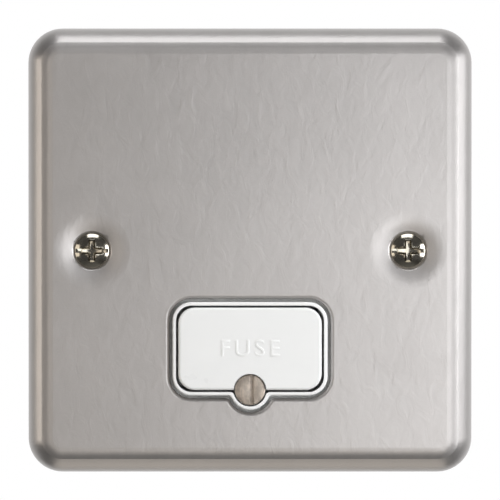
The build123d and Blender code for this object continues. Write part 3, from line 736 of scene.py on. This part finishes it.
class SPUR_OT_carrier_screw(bpy.types.Operator):
    """Makes the slotted screw that holds the carrier"""

    bl_idname = "spur.carrier_screw"
    bl_label = "Carrier screw"

    def execute(self, context):
        sizes = context.scene.spur_fasteners
        low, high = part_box("carrier_screw")
        radius = (high.x - low.x) / 2
        rim = sizes.carrier_rim
        seat = low.y + sizes.carrier_head
        neck_end = seat + sizes.small_pitch
        head = turn("carrier_screw_head", [
            (0, low.y), (radius - rim, low.y), (radius - RIM_SAG * rim, low.y + RIM_SAG * rim),
            (radius, low.y + rim), (radius, seat), (sizes.carrier_neck, seat),
            (sizes.carrier_neck, neck_end), (0, neck_end),
        ], sizes.turn_steps)
        slot = tapered_bar("slot", sizes.carrier_slot, sizes.carrier_slot_depth,
                           SLOT_REACH * radius, low.y, 0)
        move(slot, (sizes.carrier_slot_offset, 0, 0))
        cut_away(head, slot)
        finish_machined(head, sizes.edge_break)
        thread = wind_thread("carrier_screw_thread", sizes.small_radius, sizes.small_pitch,
                             seat, high.y, sizes.thread_steps)
        screw = join("carrier_screw_threaded", head, thread)
        put(screw, middle("carrier_screw"), "carrier_screw", "carrier_screw")
        return {"FINISHED"}


class SPUR_OT_studs_and_nuts(bpy.types.Operator):
    """Threads the three welded studs and chamfers their nuts"""

    bl_idname = "spur.studs_and_nuts"
    bl_label = "Studs and nuts"

    def execute(self, context):
        sizes = context.scene.spur_fasteners
        for stud in ("body_stud_upper", "body_stud_lower", "earth_stud"):
            low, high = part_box(stud)
            piece = wind_thread(f"{stud}_threaded", sizes.small_radius, sizes.small_pitch,
                                low.y, high.y, sizes.thread_steps)
            put(piece, middle(stud), "unit", stud)

        corner = sizes.nut_flats / 2 / math.cos(HALF_SIDE)
        bore = sizes.small_radius + sizes.edge_break
        for nut in ("body_nut_upper", "body_nut_lower", "earth_nut"):
            low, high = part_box(nut)
            corners_at_sides = high.x - low.x > high.z - low.z
            deselect_all()
            bpy.ops.mesh.primitive_cylinder_add(
                vertices=6, radius=corner, depth=high.y - low.y, location=(0, (low.y + high.y) / 2, 0),
                rotation=(math.pi / 2, HALF_SIDE if corners_at_sides else 0, 0)
            )
            piece = bpy.context.object
            piece.name = f"{nut}_chamfered"
            bpy.ops.object.transform_apply(location=True, rotation=True, scale=True)
            envelope = turn("nut_envelope", [
                (0, low.y), (sizes.nut_face, low.y), (corner, low.y + sizes.nut_chamfer),
                (corner, high.y - sizes.nut_chamfer), (sizes.nut_face, high.y), (0, high.y),
            ], sizes.turn_steps)
            cut_away(piece, envelope, "INTERSECT")
            hole = turn("nut_bore", [
                (0, low.y - MM), (bore, low.y - MM), (bore, high.y + MM), (0, high.y + MM),
            ], sizes.turn_steps)
            cut_away(piece, hole)
            smooth(piece)
            put(piece, middle(nut), "unit", nut)
        return {"FINISHED"}


class SPUR_OT_lettering(bpy.types.Operator):
    """Moulds the word on the carrier's face"""

    bl_idname = "spur.lettering"
    bl_label = "Lettering"

    def execute(self, context):
        sizes = context.scene.spur_lettering
        low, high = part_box("fuse_carrier")
        deselect_all()
        bpy.ops.object.text_add()
        word = bpy.context.object
        word.name = "carrier_lettering"
        word.data.body = sizes.word
        word.data.align_x = "CENTER"
        word.data.align_y = "CENTER"
        word.data.space_character = sizes.spacing
        word.data.size = sizes.height / CAPITAL_SHARE
        word.data.extrude = sizes.relief
        word.data.bevel_depth = sizes.relief * LETTER_EDGE
        word.data.bevel_resolution = 2
        bpy.ops.object.convert(target="MESH")
        word = bpy.context.object
        word.location = ((low.x + high.x) / 2, low.y, high.z - sizes.drop)
        word.rotation_euler = (math.pi / 2, 0, 0)
        take(word)
        bpy.ops.object.transform_apply(location=True, rotation=True, scale=True)
        smooth(word)
        wear_finish(word, "fuse_carrier")
        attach(word, "carrier")
        return {"FINISHED"}


def lay_floor(stage):
    """Lays the pale floor below the unit."""
    deselect_all()
    bpy.ops.mesh.primitive_plane_add(size=stage.floor_size, location=(0, 0, CAD_LOW.z - stage.floor_drop))
    floor = bpy.context.object
    floor.name = "floor"
    floor.data.materials.append(pale_paper(stage.floor))


def add_lamp(name, tilt, bearing, distance, size, watts, tint):
    """Adds a soft panel that faces the plate and is seen only in reflections.

    It is tilted off the plate's axis, and its bearing goes round that axis from the right over the top.
    """
    tilt, bearing = math.radians(tilt), math.radians(bearing)
    away = Vector((
        math.sin(tilt) * math.cos(bearing), -math.cos(tilt), math.sin(tilt) * math.sin(bearing)
    ))
    along = Vector((-math.sin(bearing), 0, math.cos(bearing)))
    deselect_all()
    bpy.ops.object.light_add(type="AREA", location=Vector((0, CAD_LOW.y, 0)) + away * distance)
    lamp = bpy.context.object
    lamp.name = name
    lamp.data.shape = "RECTANGLE"
    lamp.data.size, lamp.data.size_y = size
    lamp.data.energy = watts
    lamp.data.color = tint
    lamp.rotation_euler = Matrix((along.cross(away), along, away)).transposed().to_euler()
    lamp.visible_camera = False


def hang_lamps(stage):
    """Hangs the soft boxes in front and the panels round the unit: angles in degrees, sizes in metres."""
    small_box, box, strip = (0.17, 0.17), (0.14, 0.24), (0.12, 0.3)
    sheet, square, panel = (0.2, 0.3), (0.3, 0.3), (0.3, 0.42)
    far, near = stage.lamp_distance, stage.low_lamp_distance
    plain, warm = stage.lamp_tint, stage.warm_tint
    for name, tilt, bearing, distance, size, watts, tint in (
        ("key_lamp", 16.5, -14, stage.key_distance, small_box, stage.key_power, plain),
        ("left_front_lamp", 22, 180, far, box, stage.left_front_power, warm),
        ("right_front_lamp", 36, -2, far, box, stage.right_front_power, plain),
        ("top_front_lamp", 26, 90, far, box, stage.top_front_power, plain),
        ("low_front_lamp", 22, 270, far, box, stage.low_front_power, warm),
        ("right_panel", 70, 0, far, panel, stage.right_power, plain),
        ("right_rear_panel", 106, 8, far, sheet, stage.right_rear_power, plain),
        ("top_panel", 71, 90, far, panel, stage.top_power, plain),
        ("top_rear_panel", 102, 90, far, strip, stage.top_rear_power, plain),
        ("left_panel", 70, 180, far, panel, stage.left_power, warm),
        ("left_rear_panel", 102, 180, far, strip, stage.left_rear_power, warm),
        ("low_panel", 112, 270, near, square, stage.low_power, warm),
    ):
        add_lamp(name, tilt, bearing, distance, size, watts, tint)


def paint_surroundings(scene, stage):
    """Makes a white background for the camera, and dim walls for the light that falls on the unit."""
    world = bpy.data.worlds.new("Studio")
    scene.world = world
    world.use_nodes = True
    tree = world.node_tree
    tree.nodes.clear()
    ray = add_node(tree, "LightPath")
    way = add_node(tree, "TexCoord").outputs["Generated"]
    direction = add_node(tree, "SeparateXYZ", links={"Vector": way})
    # The background stands behind the unit, so only rays that are mirrored or bent that way see it.
    behind = add_node(tree, "MapRange", {"From Min": 0.4, "From Max": 0.9},
                      {"Value": direction.outputs["Y"]})
    mirrored = add_node(tree, "Math", {"operation": "MAXIMUM"},
                        {0: ray.outputs["Is Glossy Ray"], 1: ray.outputs["Is Transmission Ray"]})
    mirrored_behind = add_node(tree, "Math", {"operation": "MULTIPLY"},
                               {0: mirrored.outputs["Value"], 1: behind.outputs["Result"]})
    seen = add_node(tree, "Math", {"operation": "MAXIMUM"},
                    {0: ray.outputs["Is Camera Ray"], 1: mirrored_behind.outputs["Value"]})
    strength = add_node(tree, "MapRange", {"To Min": stage.ambient, "To Max": 1.0},
                        {"Value": seen.outputs["Value"]})
    light = add_node(tree, "Background", {"Color": (1, 1, 1, 1)},
                     {"Strength": strength.outputs["Result"]})
    add_node(tree, "OutputWorld", links={"Surface": light.outputs["Background"]})


def aim_camera(scene, stage):
    """Puts the camera in front of the unit, a little above it, and aims it at the middle."""
    deselect_all()
    away = Vector((0, -math.cos(stage.elevation), math.sin(stage.elevation)))
    bpy.ops.object.camera_add(location=away * stage.camera_distance)
    camera = bpy.context.object
    camera.rotation_euler = (-away).to_track_quat("-Z", "Y").to_euler()
    camera.data.lens = camera.data.sensor_width * stage.camera_distance / stage.frame_width
    scene.camera = camera


class SPUR_OT_stage(bpy.types.Operator):
    """Sets up the floor, the lamps, the surroundings and the camera"""

    bl_idname = "spur.stage"
    bl_label = "Stage"

    def execute(self, context):
        scene = context.scene
        scene.view_settings.view_transform = "Standard"
        lay_floor(scene.spur_stage)
        hang_lamps(scene.spur_stage)
        paint_surroundings(scene, scene.spur_stage)
        aim_camera(scene, scene.spur_stage)
        return {"FINISHED"}


class SPUR_PT_panel(bpy.types.Panel):
    """Lists the unit's operators and settings"""

    bl_idname = "SPUR_PT_panel"
    bl_label = "Fused Spur Unit"
    bl_space_type = "VIEW_3D"
    bl_region_type = "UI"
    bl_category = "Spur Unit"

    def draw(self, context):
        for operator in OPERATORS:
            self.layout.operator(operator.bl_idname)
        for name in SETTINGS:
            group = getattr(context.scene, name)
            box = self.layout.box()
            for key in group.__annotations__:
                box.prop(group, key)


OPERATORS = (
    SPUR_OT_finishes,
    SPUR_OT_fixing_screws,
    SPUR_OT_carrier,
    SPUR_OT_carrier_screw,
    SPUR_OT_studs_and_nuts,
    SPUR_OT_lettering,
    SPUR_OT_stage,
)
SETTINGS = {
    "spur_colours": SpurColours,
    "spur_fasteners": SpurFasteners,
    "spur_carrier": SpurCarrier,
    "spur_lettering": SpurLettering,
    "spur_stage": SpurStage,
}
CLASSES = (*SETTINGS.values(), *OPERATORS, SPUR_PT_panel)


def register():
    """Registers the classes and gives the scene its settings."""
    for cls in CLASSES:
        bpy.utils.register_class(cls)
    for name, group in SETTINGS.items():
        setattr(bpy.types.Scene, name, PointerProperty(type=group))


def unregister():
    """Takes the settings and the classes away again."""
    for name in SETTINGS:
        delattr(bpy.types.Scene, name)
    for cls in reversed(CLASSES):
        bpy.utils.unregister_class(cls)


def main():
    """Registers the classes and builds the scene."""
    register()
    bpy.ops.spur.finishes()
    bpy.ops.spur.fixing_screws()
    bpy.ops.spur.carrier()
    bpy.ops.spur.carrier_screw()
    bpy.ops.spur.studs_and_nuts()
    bpy.ops.spur.lettering()
    bpy.ops.spur.stage()


if __name__ == "__main__":
    main()
